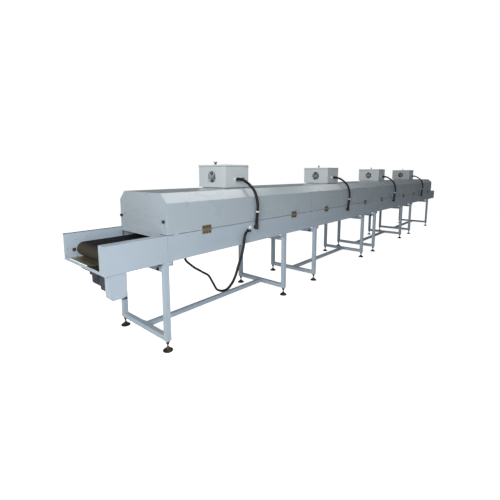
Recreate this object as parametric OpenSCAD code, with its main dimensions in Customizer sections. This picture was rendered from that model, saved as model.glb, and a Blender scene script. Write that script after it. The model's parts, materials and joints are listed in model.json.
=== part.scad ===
// Infrared conveyor dryer: four hinged tunnel hoods over one belt line.
// X runs along the line from the drive end, +Y is the far side, +Z is up, the floor is Z = 0.

/* [Line] */
// Length of one tunnel module
module_len = 2000; // [1800:10:2400]
// Open belt ahead of the first hood
infeed_len = 460; // [430:5:600]
// Open belt after the last hood
outfeed_len = 385; // [320:5:600]
// Gap between the side sheets of neighbouring beds
bed_gap = 1.5; // [0.5:0.5:3]
// Gap between neighbouring hoods
hood_gap = 4; // [3:1:8]

/* [Bed] */
// Width over the side sheets
bed_w = 670; // [640:2:760]
// Height of the bed's top edge above the floor
bed_top = 872; // [820:2:960]
// Height of the bed's side
bed_h = 193; // [180:2:230]
// Sheet thickness of the bed
bed_wall = 2.5; // [2:0.5:4]
// Width of the lip turned in along the top
bed_lip = 22; // [20:1:24]
// Distance from the top edge down to the fold line
fold_drop = 110; // [95:1:120]
// Set-in of the side below the fold line
fold_step = 3; // [1:0.5:5]

/* [Hood] */
// Set-in of the hood's side from the bed's side
hood_inset = 0; // [0:0.5:4]
// Height of the hood's upright side
hood_side_h = 228; // [200:2:280]
// Rise of the sloping shoulder
hood_rise = 71; // [50:2:90]
// Run of the sloping shoulder
hood_run = 76; // [50:2:100]
// Sheet thickness of the hood
hood_wall = 2; // [1.5:0.5:3]
// Width of the hem turned in along the bottom
hood_hem = 15; // [12:1:20]
// Open seam between the hood and the bed
seam_gap = 4; // [3:0.5:8]

/* [End gates] */
// Thickness of the gate plate
gate_t = 2.5; // [2:0.5:4]
// Gap between the belt and the gate at rest
gate_clear = 46; // [36:1:50]
// Height of the gate's top edge above the bed
gate_rise = 124; // [118:1:140]
// Travel of the gate
gate_travel = 60; // [30:1:65]
// Height of the clamp knobs above the bed
knob_h = 101; // [98:1:105]
// Distance of the clamp knobs from the bed's side
knob_in = 32; // [30:1:45]
// Radius of a clamp knob
knob_r = 12; // [9:0.5:14]

/* [Top boxes] */
// Length of a box along the line
box_len = 320; // [280:5:360]
// Width of a box across the line
box_w = 380; // [340:5:400]
// Height of a box
box_h = 215; // [200:5:260]
// Height of the collar that carries a box
box_lift = 10; // [6:1:20]
// Distance of a box's centre behind the line's centre
box_back = 80; // [60:5:90]
// Distance of a box's centre ahead of its module's centre
box_ahead = 30; // [0:5:60]
// Sheet thickness of a box
box_wall = 1.5; // [1:0.5:2.5]
// Radius of the fan's opening
fan_r = 55; // [45:1:58]

/* [Stands] */
// Side of the square leg tube
leg_tube = 40; // [36:1:56]
// Wall of the leg tube
leg_wall = 3; // [2:0.5:4]
// Distance from a module's edge to its first stand
stand_inset = 125; // [90:5:200]
// Distance between the two stands of a module
stand_spacing = 1490; // [1400:5:1550]
// Outward shift of the stands at both ends of the line
end_shift = 140; // [0:5:150]
// Side of the square tube that joins two stands
stretcher_tube = 36; // [30:1:38]

/* [Feet] */
// Height of a levelling foot below the leg
foot_h = 80; // [70:1:110]
// Radius of a foot's base
foot_r = 38; // [30:1:42]
// Radius of a foot's threaded stud
stud_r = 5; // [4:0.5:8]

/* [Belt] */
// Depth of the belt's surface below the bed's top edge
belt_drop = 77; // [70:1:82]
// Thickness of the belt
belt_t = 2.2; // [1:0.1:3]
// Gap between the belt's edge and the sheet beside it
belt_side_gap = 7; // [5:0.5:12]
// Radius of the end rollers
roller_r = 50; // [40:1:52]
// Distance of the drive roller's axis from the infeed end
roller_in = 139; // [136:1:160]
// Distance of the tail roller's axis from the outfeed end
tail_in = 150; // [120:1:200]
// Radius of the roller shafts
shaft_r = 12.5; // [10:0.5:15]

/* [Drive] */
// Depth of the rails beside the open belt
rail_w = 18; // [16:1:26]
// Thickness of the drive housing
housing_w = 74; // [70:1:84]
// Distance of the motor's axis from the infeed end
motor_in = 80; // [78:1:86]
// Depth of the motor's axis below the bed
motor_drop = 64; // [62:1:70]
// Teeth on the motor's sprocket
motor_teeth = 11; // [10:1:12]
// Teeth on the roller's sprocket
roller_teeth = 13; // [12:1:14]
// Pitch of the chain
chain_pitch = 12.7; // [12.7:0.1:13]
// Width of the chain guard
guard_len = 117; // [114:1:124]
// Height of the chain guard
guard_h = 165; // [150:1:175]
// Sheet thickness of the chain guard
guard_wall = 2; // [1.5:0.5:3]
// Depth of the chain guard
guard_w = 56; // [54:1:60]

/* [Lamps] */
// Lamps in one hood
lamps = 8; // [4:1:9]
// Radius of a quartz tube
lamp_r = 6; // [5:0.5:8]

/* [Cords] */
// Diameter of the conduits
conduit_d = 26; // [22:1:28]
// Diameter of the supply cable
cable_d = 18; // [14:1:20]

/* [Hidden] */
$fn = 48;

// One module of tunnel for each hood node
modules = 4;
paint = "LightSteelBlue";
// Overrun of every cut
over = 1;
// Gap of soft and curved faces that only rest on each other
rest_gap = 0.3;
// Radial clearance of a shaft in its bore
run_fit = 0.05;

// Places along the line
line_len = infeed_len + modules * module_len + outfeed_len;
line_x0 = -line_len / 2;
line_x1 = line_len / 2;
tunnel_x0 = line_x0 + infeed_len;
tunnel_x1 = tunnel_x0 + modules * module_len;
function module_x(i) = tunnel_x0 + i * module_len;

// Heights
bed_bottom = bed_top - bed_h;
fold_z = bed_top - fold_drop;
side_y = bed_w / 2;
hood_y = side_y - hood_inset;
hood_z0 = bed_top + seam_gap;
hood_z1 = hood_z0 + hood_side_h;
hood_top = hood_z1 + hood_rise;

// Belt run
belt_top = bed_top - belt_drop;
belt_r = roller_r + rest_gap + belt_t;
axis_z = belt_top - belt_r;
duct_y = -side_y + housing_w;
rail_y = side_y - rail_w;
belt_y0 = duct_y + belt_side_gap;
belt_y1 = rail_y - belt_side_gap;
drive_x = line_x0 + roller_in;
tail_x = line_x1 - tail_in;

// Flat pieces across the line are drawn in Y and Z and drawn out along X
module along(x0, length) {
    translate([x0, 0, 0]) rotate([90, 0, 90]) linear_extrude(length) children();
}

// Round pieces whose axis runs along X, from x0
module bar_x(x0, y, z, r, length, sides = 48) {
    translate([x0, y, z]) rotate([0, 90, 0]) cylinder(r = r, h = length, $fn = sides);
}

// Round pieces whose axis runs along Y, from y0
module bar_y(x, y0, z, r, length, sides = 48) {
    translate([x, y0, z]) rotate([-90, 0, 0]) cylinder(r = r, h = length, $fn = sides);
}

// A box from its low corner to its high corner
module block(low, high) {
    translate(low) cube([high[0] - low[0], high[1] - low[1], high[2] - low[2]]);
}

// Stands
// Each stand is a welded frame: two legs, a top bar and a bottom bar.
leg_y = side_y - leg_tube / 2;
leg_z0 = foot_h;
tab_len = 38;
tab_h = 31;
bar_drop = 72;
tab_t = 5;
plug_h = 12;

function stand_shift(i) = i == 0 ? -end_shift : (i == modules - 1 ? end_shift : 0);
function stand_x(i, k) = module_x(i) + stand_inset + stand_shift(i) + k * stand_spacing;

module leg(x, y) {
    difference() {
        block([x - leg_tube / 2, y - leg_tube / 2, leg_z0], [x + leg_tube / 2, y + leg_tube / 2, bed_bottom]);
        block([x - leg_tube / 2 + leg_wall, y - leg_tube / 2 + leg_wall, leg_z0 + plug_h],
              [x + leg_tube / 2 - leg_wall, y + leg_tube / 2 - leg_wall, bed_bottom - leg_wall]);
        translate([x, y, leg_z0 - over]) cylinder(r = stud_r + run_fit, h = plug_h + 2 * over);
    }
}

module cross_tube(x, z0) {
    reach = leg_y - leg_tube / 2;
    difference() {
        block([x - leg_tube / 2, -reach, z0], [x + leg_tube / 2, reach, z0 + leg_tube]);
        block([x - leg_tube / 2 + leg_wall, -reach + leg_wall, z0 + leg_wall],
              [x + leg_tube / 2 - leg_wall, reach - leg_wall, z0 + leg_tube - leg_wall]);
        translate([x, 0, z0 + leg_tube - leg_wall - over]) cylinder(r = stud_r, h = leg_wall + 2 * over);
        for (s = [-1, 1]) translate([x, s * reach / 2, z0 - over]) cylinder(r = stud_r, h = leg_wall + 2 * over);
    }
}

module stand(x, inward) {
    leg(x, -leg_y);
    leg(x, leg_y);
    cross_tube(x, leg_z0);
    cross_tube(x, bed_bottom - bar_drop);
    for (s = [-1, 1]) {
        y0 = s > 0 ? side_y - tab_t : -side_y;
        edge = x + inward * leg_tube / 2;
        block([min(edge, edge + inward * tab_len), y0, bed_bottom - tab_h],
              [max(edge, edge + inward * tab_len), y0 + tab_t, bed_bottom]);
    }
}

module leg_frames(i) {
    color(paint) {
        stand(stand_x(i, 0), 1);
        stand(stand_x(i, 1), -1);
    }
}

// Stretchers
// A square tube between the bottom bars, with a bolted flange at each end.
flange_t = 5;
flange_w = 96;
flange_bolt_r = 5;
stretcher_z0 = leg_z0 + (leg_tube - stretcher_tube) / 2;

module stretcher(i) {
    x0 = stand_x(i, 0) + leg_tube / 2;
    x1 = stand_x(i, 1) - leg_tube / 2;
    half = stretcher_tube / 2;
    bolt_y = (flange_w / 2 + half) / 2;
    difference() {
        union() {
            block([x0, -half, stretcher_z0], [x1, half, stretcher_z0 + stretcher_tube]);
            for (x = [x0, x1 - flange_t])
                block([x, -flange_w / 2, leg_z0], [x + flange_t, flange_w / 2, leg_z0 + leg_tube]);
        }
        block([x0 - over, -half + leg_wall, stretcher_z0 + leg_wall],
              [x1 + over, half - leg_wall, stretcher_z0 + stretcher_tube - leg_wall]);
        for (x = [x0, x1 - flange_t], s = [-1, 1])
            bar_x(x - over, s * bolt_y, leg_z0 + leg_tube / 2, flange_bolt_r, flange_t + 2 * over);
    }
}

module stretchers() {
    color(paint) for (i = [0 : modules - 1]) stretcher(i);
}

// Feet
// A bell-shaped base on a stud that runs up into the leg, locked by a tapered nut.
foot_rim_share = 0.08;
foot_bell_share = 0.53;
foot_neck_share = 0.62;
bell_steps = 8;
nut_r = 17;
nut_neck_r = 9;

function bell(t) = [stud_r + (foot_r - stud_r) * pow(1 - t, 1.7),
                    foot_h * (foot_rim_share + (foot_bell_share - foot_rim_share) * t)];

module foot(x, y) {
    translate([x, y, 0]) rotate_extrude() polygon(concat(
        [[0, 0], [foot_r, 0]],
        [for (k = [0 : bell_steps]) bell(k / bell_steps)],
        [[stud_r, foot_h + plug_h], [0, foot_h + plug_h]]));
}

module lock_nut(x, y) {
    neck_z = foot_h * foot_neck_share;
    translate([x, y, 0]) rotate_extrude() polygon([
        [stud_r + run_fit, neck_z], [nut_neck_r, neck_z],
        [nut_r, foot_h - leg_wall], [nut_r, foot_h], [stud_r + run_fit, foot_h]]);
}

module levelling_feet() {
    color("DimGray") for (i = [0 : modules - 1], k = [0, 1], s = [-1, 1]) foot(stand_x(i, k), s * leg_y);
}

module foot_lock_nuts() {
    color("Gray") for (i = [0 : modules - 1], k = [0, 1], s = [-1, 1]) lock_nut(stand_x(i, k), s * leg_y);
}

// Beds
// Each bed is a folded trough with lips along the top and pads for the hood to rest on.
pad_len = 40;
pad_inset = 60;
gland_stub_r = 9;
stub_fit = 0.3;

function bed_half(lip) = let (low_y = side_y - fold_step, inner_y = low_y - bed_wall) [
    [low_y, bed_bottom], [low_y, fold_z], [side_y, fold_z], [side_y, bed_top],
    [side_y - lip, bed_top], [side_y - lip, bed_top - bed_wall],
    [side_y - bed_wall, bed_top - bed_wall], [side_y - bed_wall, fold_z + bed_wall],
    [inner_y, fold_z + bed_wall], [inner_y, bed_bottom + bed_wall]];

// A wiring duct runs along the front, closed by an inner wall
module bed_profile() {
    back = bed_half(bed_lip);
    front = bed_half(housing_w);
    last = len(front) - 1;
    union() {
        polygon(concat(back, [for (k = [last : -1 : 0]) [-front[k][0], front[k][1]]]));
        translate([duct_y - bed_wall, bed_bottom]) square([bed_wall, bed_h]);
    }
}

module bed(i) {
    x0 = module_x(i) + bed_gap / 2;
    length = module_len - bed_gap;
    pad_y = hood_y - hood_hem;
    color(paint) difference() {
        union() {
            along(x0, length) bed_profile();
            for (x = [x0 + pad_inset, x0 + length - pad_inset - pad_len], s = [-1, 1])
                block([x, s > 0 ? pad_y : -hood_y, bed_top],
                      [x + pad_len, s > 0 ? hood_y : -pad_y, hood_z0]);
        }
        bar_y(module_x(i) + conduit_x, -side_y - over, bed_gland_z, gland_stub_r + stub_fit, bed_wall + 2 * over);
        if (i == 0) {
            bar_y(module_x(0) + cable_gland_x, -side_y - over, cable_gland_z, gland_stub_r + stub_fit,
                  bed_wall + 2 * over);
            translate([module_x(0) + cable_end[0], cable_end[1], bed_bottom - over])
                cylinder(r = gland_stub_r + stub_fit, h = bed_wall + 2 * over);
        }
    }
}

// Infeed end
// The drive housing stands in front, a channel rail stands behind, and a bar joins them at the bottom.
slot_h = 26;
slot_len = 100;
slot_ahead = 81;
bar_h = 21;

// A channel open to the outside
module back_rail(x0, length) {
    along(x0, length) difference() {
        translate([rail_y, bed_bottom]) square([rail_w, bed_h]);
        translate([rail_y + bed_wall, bed_bottom + bed_wall]) square([rail_w, bed_h - 2 * bed_wall]);
    }
}

module infeed_back_rail() {
    color(paint) difference() {
        back_rail(line_x0, infeed_len - bed_gap / 2);
        block([drive_x - slot_ahead, rail_y - over, axis_z - slot_h / 2],
              [drive_x - slot_ahead + slot_len, rail_y + bed_wall + over, axis_z + slot_h / 2]);
    }
}

// A closed box along the front, open only toward the first bed's duct
module front_rail(x0, x1, open_x) {
    difference() {
        block([x0, -side_y, bed_bottom], [x1, duct_y, bed_top]);
        block([open_x == x0 ? x0 - over : x0 + bed_wall, -side_y + bed_wall, bed_bottom + bed_wall],
              [open_x == x1 ? x1 + over : x1 - bed_wall, duct_y - bed_wall, bed_top - bed_wall]);
    }
}

module drive_housing() {
    x1 = tunnel_x0 - bed_gap / 2;
    color(paint) difference() {
        front_rail(line_x0, x1, x1);
        block([chain_hole_x0, sprocket_y - chain_half - chain_room, bed_bottom - over],
              [chain_hole_x1, sprocket_y + chain_half + chain_room, bed_bottom + bed_wall + over]);
        bar_y(drive_x, duct_y - bed_wall - over, axis_z, shaft_r + chain_room, bed_wall + 2 * over);
    }
}

// Low bars join the two sides at both ends of the line
module end_crossbars() {
    color(paint) for (x = [line_x0, line_x1 - bed_wall])
        block([x, duct_y, bed_bottom], [x + bed_wall, rail_y, bed_bottom + bar_h]);
}

// A plate across the infeed carries the gearbox on two pads
plate_len = 110;
plate_t = 4;
plate_window = 150;
window_in = 14;

module motor_plate() {
    x0 = motor_x - plate_len / 2 + window_in;
    window_y = gearbox_y0 + gearbox_len + window_in;
    color("DarkKhaki") difference() {
        block([x0, duct_y, bed_bottom], [x0 + plate_len, rail_y, bed_bottom + plate_t]);
        block([x0 + window_in, window_y, bed_bottom - over],
              [x0 + plate_len - window_in, window_y + plate_window, bed_bottom + plate_t + over]);
    }
}

// Outfeed end
module outfeed_rails() {
    x0 = tunnel_x1 + bed_gap / 2;
    color(paint) {
        difference() {
            back_rail(x0, line_x1 - x0);
            block([tail_x + slot_ahead - slot_len, rail_y - over, axis_z - slot_h / 2],
                  [tail_x + slot_ahead, rail_y + bed_wall + over, axis_z + slot_h / 2]);
        }
        difference() {
            front_rail(x0, line_x1, x0);
            bar_y(tail_x, duct_y - bed_wall - over, axis_z, shaft_r + chain_room, bed_wall + 2 * over);
        }
    }
}

// Chain drive
// Two sprockets are cut by the chain's rollers; the chain's plates run beside their teeth.
chain_room = 4;
tooth_w = 7.2;
tooth_rise = 3.5;
roller_link_r = 4.25;
link_r = 5.6;
link_waist = 8;
link_t = 1.5;
link_gap = 0.4;
chain_half = tooth_w / 2 + link_gap + link_t;
hub_r = 16;
hub_len = 12;
sprocket_y = -side_y + guard_w / 2;
motor_x = line_x0 + motor_in;
guard_x0 = motor_x - guard_len / 2;
guard_y1 = -side_y + guard_w;
gearbox_y0 = guard_y1;
motor_z = bed_bottom - motor_drop;
motor_shaft_r = 8;
shaft_off = 18;
out_x = motor_x - shaft_off;
tip_fit = 0.3;

chain_hole_x0 = guard_x0 + guard_wall;
chain_hole_x1 = guard_x0 + guard_len;

function pitch_r(teeth) = chain_pitch / (2 * sin(180 / teeth));
function sprocket_tip(teeth) = pitch_r(teeth) + tooth_rise;

module sprocket_disc(teeth, turn) {
    rotate([90, 0, 0]) linear_extrude(tooth_w, center = true) difference() {
        circle(r = sprocket_tip(teeth), $fn = 96);
        for (k = [0 : teeth - 1]) rotate(turn + k * 360 / teeth)
            translate([pitch_r(teeth), 0]) circle(r = roller_link_r, $fn = 24);
    }
}

module sprocket(x, z, teeth, bore, hub_side) {
    hub_y = hub_side > 0 ? sprocket_y : sprocket_y - hub_len;
    difference() {
        union() {
            translate([x, sprocket_y, z]) sprocket_disc(teeth, 90);
            bar_y(x, hub_y, z, hub_r, hub_len);
        }
        bar_y(x, sprocket_y - hub_len - over, z, bore, 2 * hub_len + 2 * over);
    }
}

module drive_sprocket() {
    color("DarkGray") sprocket(drive_x, axis_z, roller_teeth, shaft_r + run_fit, 1);
}

module motor_sprocket() {
    color("DarkGray") union() {
        sprocket(out_x, motor_z, motor_teeth, motor_shaft_r - over, 1);
        bar_y(out_x, sprocket_y - hub_len, motor_z, motor_shaft_r, gearbox_y0 + shaft_seat - sprocket_y + hub_len);
    }
}

// The chain's path: up the near run, round the roller's sprocket, down, round the motor's sprocket
run_dx = drive_x - out_x;
run_dz = axis_z - motor_z;
run_len = sqrt(run_dx * run_dx + run_dz * run_dz);
run_turn = atan2(run_dz, run_dx);
lean = asin((pitch_r(roller_teeth) - pitch_r(motor_teeth)) / run_len);
straight = run_len * cos(lean);
wrap_top = pitch_r(roller_teeth) * (180 + 2 * lean) * PI / 180;
wrap_low = pitch_r(motor_teeth) * (180 - 2 * lean) * PI / 180;
chain_len = 2 * straight + wrap_top + wrap_low;
links = round(chain_len / chain_pitch);

function on_circle(x, z, r, turn) = [x + r * cos(turn), z + r * sin(turn)];
function mix(a, b, t) = a + (b - a) * t;
near_turn = run_turn - 90 - lean;
far_turn = run_turn + 90 + lean;
function chain_at(s) =
    s < straight
    ? mix(on_circle(out_x, motor_z, pitch_r(motor_teeth), near_turn),
          on_circle(drive_x, axis_z, pitch_r(roller_teeth), near_turn), s / straight)
    : s < straight + wrap_top
    ? on_circle(drive_x, axis_z, pitch_r(roller_teeth), near_turn + (s - straight) / wrap_top * (180 + 2 * lean))
    : s < 2 * straight + wrap_top
    ? mix(on_circle(drive_x, axis_z, pitch_r(roller_teeth), far_turn),
          on_circle(out_x, motor_z, pitch_r(motor_teeth), far_turn), (s - straight - wrap_top) / straight)
    : on_circle(out_x, motor_z, pitch_r(motor_teeth),
                far_turn + (s - 2 * straight - wrap_top) / wrap_low * (180 - 2 * lean));

// A pin shows only where it clears the teeth
function clears(p) =
    norm(p - [drive_x, axis_z]) > sprocket_tip(roller_teeth) + roller_link_r + tip_fit
    && norm(p - [out_x, motor_z]) > sprocket_tip(motor_teeth) + roller_link_r + tip_fit;

module link_plates() {
    for (k = [0 : links - 1]) {
        a = chain_at(k * chain_len / links);
        b = chain_at(((k + 1) % links) * chain_len / links);
        translate(a) circle(r = link_r, $fn = 24);
        translate(a) rotate(atan2(b[1] - a[1], b[0] - a[0]))
            translate([0, -link_waist / 2]) square([norm(b - a), link_waist]);
    }
}

module drive_chain() {
    color("SlateGray") union() {
        for (s = [-1, 1])
            translate([0, sprocket_y + s * (chain_half - link_t / 2), 0]) rotate([90, 0, 0])
                linear_extrude(link_t, center = true) link_plates();
        for (k = [0 : links - 1]) {
            p = chain_at(k * chain_len / links);
            if (clears(p)) bar_y(p[0], sprocket_y - chain_half, p[1], roller_link_r, 2 * chain_half, 24);
        }
    }
}

// Chain guard
// A box with clipped lower corners, open into the housing above, whose back plate holds the gearbox.
guard_clip = 20;
guard_z0 = bed_bottom - guard_h;
boss_r = 20;

module guard_outline(inset) {
    x0 = guard_x0 + inset;
    x1 = guard_x0 + guard_len - inset;
    z0 = guard_z0 + inset;
    clip = guard_clip - inset / 2;
    polygon([[x0, bed_bottom], [x0, z0 + clip], [x0 + clip, z0], [x1 - clip, z0],
             [x1, z0 + clip], [x1, bed_bottom]]);
}

module chain_guard() {
    color(paint) difference() {
        translate([0, guard_y1, 0]) rotate([90, 0, 0]) linear_extrude(guard_w) guard_outline(0);
        difference() {
            translate([0, guard_y1 - guard_wall, 0]) rotate([90, 0, 0])
                linear_extrude(guard_w - 2 * guard_wall) guard_outline(guard_wall);
            block([guard_x0, -side_y, bed_bottom], [guard_x0 + guard_len, guard_y1, bed_bottom + over]);
        }
        block([guard_x0 + guard_wall, -side_y + guard_wall, bed_bottom - over],
              [guard_x0 + guard_len - guard_wall, guard_y1 - guard_wall, bed_bottom + over]);
        bar_y(out_x, guard_y1 - guard_wall - over, motor_z, boss_r, guard_wall + 2 * over);
    }
}

// Gear motor
gearbox_side = 104;
gearbox_len = 78;
pad_side = 24;
shaft_seat = 30;
edge_r = 6;
motor_r = 44;
motor_len = 150;
fin_r = 47;
fin_t = 3;
fins = 9;
cowl_len = 22;

module gearbox() {
    half = gearbox_side / 2;
    color("MidnightBlue") difference() {
        union() {
            translate([motor_x, gearbox_y0 + gearbox_len, motor_z]) rotate([90, 0, 0])
                linear_extrude(gearbox_len) union() {
                    square([gearbox_side, gearbox_side - 2 * edge_r], center = true);
                    square([gearbox_side - 2 * edge_r, gearbox_side], center = true);
                    for (sx = [-1, 1], sz = [-1, 1])
                        translate([sx * (half - edge_r), sz * (half - edge_r)]) circle(r = edge_r, $fn = 24);
                }
            bar_y(out_x, gearbox_y0 - guard_wall, motor_z, boss_r - rest_gap, guard_wall);
            for (s = [-1, 1])
                block([motor_x + s * (half - edge_r) - (s + 1) * pad_side / 2, duct_y, motor_z + half - over],
                      [motor_x + s * (half - edge_r) - (s - 1) * pad_side / 2, gearbox_y0 + gearbox_len,
                       bed_bottom]);
        }
        bar_y(out_x, gearbox_y0 - guard_wall - over, motor_z, motor_shaft_r + run_fit,
              shaft_seat + guard_wall + 2 * over);
    }
}

module gear_motor() {
    y0 = gearbox_y0 + gearbox_len;
    gap = (motor_len - cowl_len) / fins;
    color("MidnightBlue") union() {
        bar_y(motor_x, y0, motor_z, motor_r, motor_len - cowl_len);
        for (k = [0 : fins - 1]) bar_y(motor_x, y0 + k * gap, motor_z, fin_r, fin_t);
        bar_y(motor_x, y0 + motor_len - cowl_len, motor_z, fin_r, cowl_len);
    }
}

// Rollers
// Each drum is a shell between two spoked discs on a through shaft.
drum_wall = 5;
disc_t = 6;
disc_in = 8;
disc_hole_r = 9;
disc_holes = 4;
drum_over = 3;
shaft_out = 14;
bearing_t = 11;

module drum(x) {
    y0 = belt_y0 - drum_over;
    y1 = belt_y1 + drum_over;
    union() {
        difference() {
            bar_y(x, y0, axis_z, roller_r, y1 - y0, 96);
            bar_y(x, y0 - over, axis_z, roller_r - drum_wall, y1 - y0 + 2 * over, 96);
        }
        for (y = [y0 + disc_in, y1 - disc_in - disc_t]) difference() {
            bar_y(x, y, axis_z, roller_r - drum_wall / 2, disc_t, 96);
            for (k = [0 : disc_holes - 1]) {
                p = on_circle(x, axis_z, (roller_r - drum_wall + shaft_r) / 2, k * 360 / disc_holes);
                bar_y(p[0], y - over, p[1], disc_hole_r, disc_t + 2 * over, 24);
            }
        }
    }
}

module drive_roller() {
    shaft_y0 = sprocket_y - hub_len;
    color("Silver") union() {
        drum(drive_x);
        bar_y(drive_x, shaft_y0, axis_z, shaft_r, rail_y + shaft_out - shaft_y0);
    }
}

module tail_roller() {
    color("Silver") union() {
        drum(tail_x);
        bar_y(tail_x, duct_y - shaft_out, axis_z, shaft_r, rail_y - duct_y + 2 * shaft_out);
    }
}

bearing_side = 70;
bearing_r = 30;

module flange_bearing(x, y0) {
    half = bearing_side / 2;
    difference() {
        block([x - half, y0, axis_z - half], [x + half, y0 + bearing_t, axis_z + half]);
        bar_y(x, y0 - over, axis_z, shaft_r + run_fit, bearing_t + 2 * over);
    }
}

module roller_bearings() {
    color("SteelBlue") {
        for (x = [drive_x, tail_x]) {
            flange_bearing(x, rail_y + bed_wall);
            flange_bearing(x, duct_y - bed_wall - bearing_t);
        }
    }
}

// Belt
module belt_loop(r) {
    union() {
        translate([drive_x, axis_z]) circle(r = r, $fn = 96);
        translate([tail_x, axis_z]) circle(r = r, $fn = 96);
        translate([drive_x, axis_z - r]) square([tail_x - drive_x, 2 * r]);
    }
}

module belt() {
    color("DarkSlateGray") translate([0, belt_y1, 0]) rotate([90, 0, 0])
        linear_extrude(belt_y1 - belt_y0) difference() {
            belt_loop(belt_r);
            belt_loop(belt_r - belt_t);
        }
}

// Bars across each bed hold the upper run, and thinner ones hold the return run
top_bars = 4;
low_bars = 2;
top_bar_r = 12;
low_bar_r = 4;

module belt_supports() {
    top_z = belt_top - belt_t - rest_gap - top_bar_r;
    low_z = axis_z - belt_r - rest_gap - low_bar_r;
    top_y = side_y - bed_wall;
    low_y = side_y - fold_step - bed_wall;
    top_run = top_y - duct_y;
    low_run = low_y - duct_y;
    color("Gray") for (i = [0 : modules - 1]) {
        for (k = [0 : top_bars - 1])
            bar_y(module_x(i) + (k + 0.5) * module_len / top_bars, duct_y, top_z, top_bar_r, top_run, 24);
        for (k = [0 : low_bars - 1])
            bar_y(module_x(i) + (k + 0.5) * module_len / low_bars, duct_y, low_z, low_bar_r, low_run, 24);
    }
}

// Hinges
// Each butt hinge has five knuckles: three with the pin on the bed's leaf, two on the hood's.
hinge_in = 370;
hinge_len = 95;
leaf_h = 34;
leaf_t = 2.5;
knuckle_r = 6;
pin_r = 3;
knuckles = 5;
knuckle_gap = 0.3;
hinge_y = -side_y - knuckle_r - rest_gap;
hinge_z = bed_top + seam_gap / 2;

function hinge_x(i, k) = module_x(i) + (k == 0 ? hinge_in : module_len - hinge_in) - hinge_len / 2;

module knuckle(x0, k, inner) {
    step = hinge_len / knuckles;
    bar_x(x0 + k * step + knuckle_gap, hinge_y, hinge_z, knuckle_r, step - 2 * knuckle_gap, 32);
}

// A leaf is a plate clear of the other leaf's knuckles, with a tab down to each of its own
module hinge_leaf(x0, y0, up, own) {
    step = hinge_len / knuckles;
    clear = knuckle_r + 2 * knuckle_gap;
    z_far = hinge_z + up * leaf_h;
    z_near = hinge_z + up * clear;
    outer_y = -side_y - leaf_t;
    block([x0, outer_y, min(z_far, z_near)], [x0 + hinge_len, y0, max(z_far, z_near)]);
    for (k = own)
        block([x0 + k * step + knuckle_gap, outer_y, min(hinge_z, z_near)],
              [x0 + (k + 1) * step - knuckle_gap, y0, max(hinge_z, z_near)]);
}

module hinge_bed_leaf(x0) {
    union() {
        hinge_leaf(x0, -side_y, -1, [0, 2, 4]);
        for (k = [0, 2, 4]) knuckle(x0, k);
        bar_x(x0 + knuckle_gap, hinge_y, hinge_z, pin_r, hinge_len - 2 * knuckle_gap, 32);
    }
}

module hinge_hood_leaf(x0) {
    difference() {
        union() {
            hinge_leaf(x0, -hood_y, 1, [1, 3]);
            for (k = [1, 3]) knuckle(x0, k);
        }
        bar_x(x0 - over, hinge_y, hinge_z, pin_r + run_fit, hinge_len + 2 * over, 32);
    }
}

module hinge_bed_leaves() {
    color("Goldenrod") for (i = [0 : modules - 1], k = [0, 1]) hinge_bed_leaf(hinge_x(i, k));
}

module hinge_hood_leaves(i) {
    color("Goldenrod") for (k = [0, 1]) hinge_hood_leaf(hinge_x(i, k));
}

// Hoods
// The sheet is folded up the side, over the shoulder and across the top, with a hem below.
shoulder_turn = atan2(hood_run, hood_rise);
handle_len = 160;
handle_r = 6;
handle_z = hood_z0 + 60;
handle_reach = side_y + 41;
mouth_in = 10;
mouth_h = 33;
duct_r = 60;

function hood_half(t) = [
    [hood_y - t, hood_z0 + t],
    [hood_y - t, hood_z1 - t * tan(shoulder_turn / 2)],
    [hood_y - hood_run - t * tan((90 - shoulder_turn) / 2), hood_top - t]];

module mirrored(half) {
    last = len(half) - 1;
    polygon(concat(half, [for (k = [last : -1 : 0]) [-half[k][0], half[k][1]]]));
}

module hood_profile() {
    difference() {
        mirrored(concat([[hood_y, hood_z0]], [for (k = [1, 2]) hood_half(0)[k]]));
        mirrored(hood_half(hood_wall));
        translate([-hood_y + hood_hem, hood_z0 - over]) square([2 * (hood_y - hood_hem), hood_wall + 2 * over]);
    }
}

module hood_end() {
    difference() {
        mirrored(hood_half(hood_wall / 2));
        translate([belt_y0 + mouth_in, hood_z0 - over])
            square([belt_y1 - belt_y0 - 2 * mouth_in, mouth_h + over]);
    }
}

// Studs for the gate's knobs, from the wall at x0 outward
module knob_studs(x0, out) {
    reach = gate_t + 2 * gate_gap + stud_seat;
    for (s = [-1, 1])
        bar_x(out > 0 ? x0 - hood_wall / 2 : x0 + hood_wall / 2 - reach - hood_wall / 2, s * knob_y, knob_z,
              knob_screw_r, reach + hood_wall / 2, 24);
}

module hood(i) {
    x0 = module_x(i) + hood_gap / 2;
    length = module_len - hood_gap;
    duct_x = box_x(i) + box_len / 2;
    color(paint) difference() {
        union() {
            along(x0, length) hood_profile();
            if (i == 0) along(x0, hood_wall) hood_end();
            if (i == modules - 1) along(x0 + length - hood_wall, hood_wall) hood_end();
            if (i == 0) knob_studs(x0, -1);
            if (i == modules - 1) knob_studs(x0 + length, 1);
            bar_x(x0 + length / 2 - handle_len / 2, handle_reach - handle_r, handle_z, handle_r, handle_len);
            for (s = [-1, 1])
                bar_y(x0 + length / 2 + s * (handle_len / 2 - handle_r), hood_y - hood_wall, handle_z,
                      handle_r, handle_reach - handle_r - hood_y + hood_wall);
        }
        translate([duct_x, box_back, hood_top - hood_wall - over])
            cylinder(r = duct_r, h = hood_wall + 2 * over);
    }
}

// Lamps
// A folded reflector hangs inside the hood, and quartz tubes cross it in ceramic ends.
reflector_t = 1.5;
reflector_h = 88;
reflector_in = 60;
lamp_drop = 30;
cap_r = 9;
cap_len = 24;
reflector_fold = 45;

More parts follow.
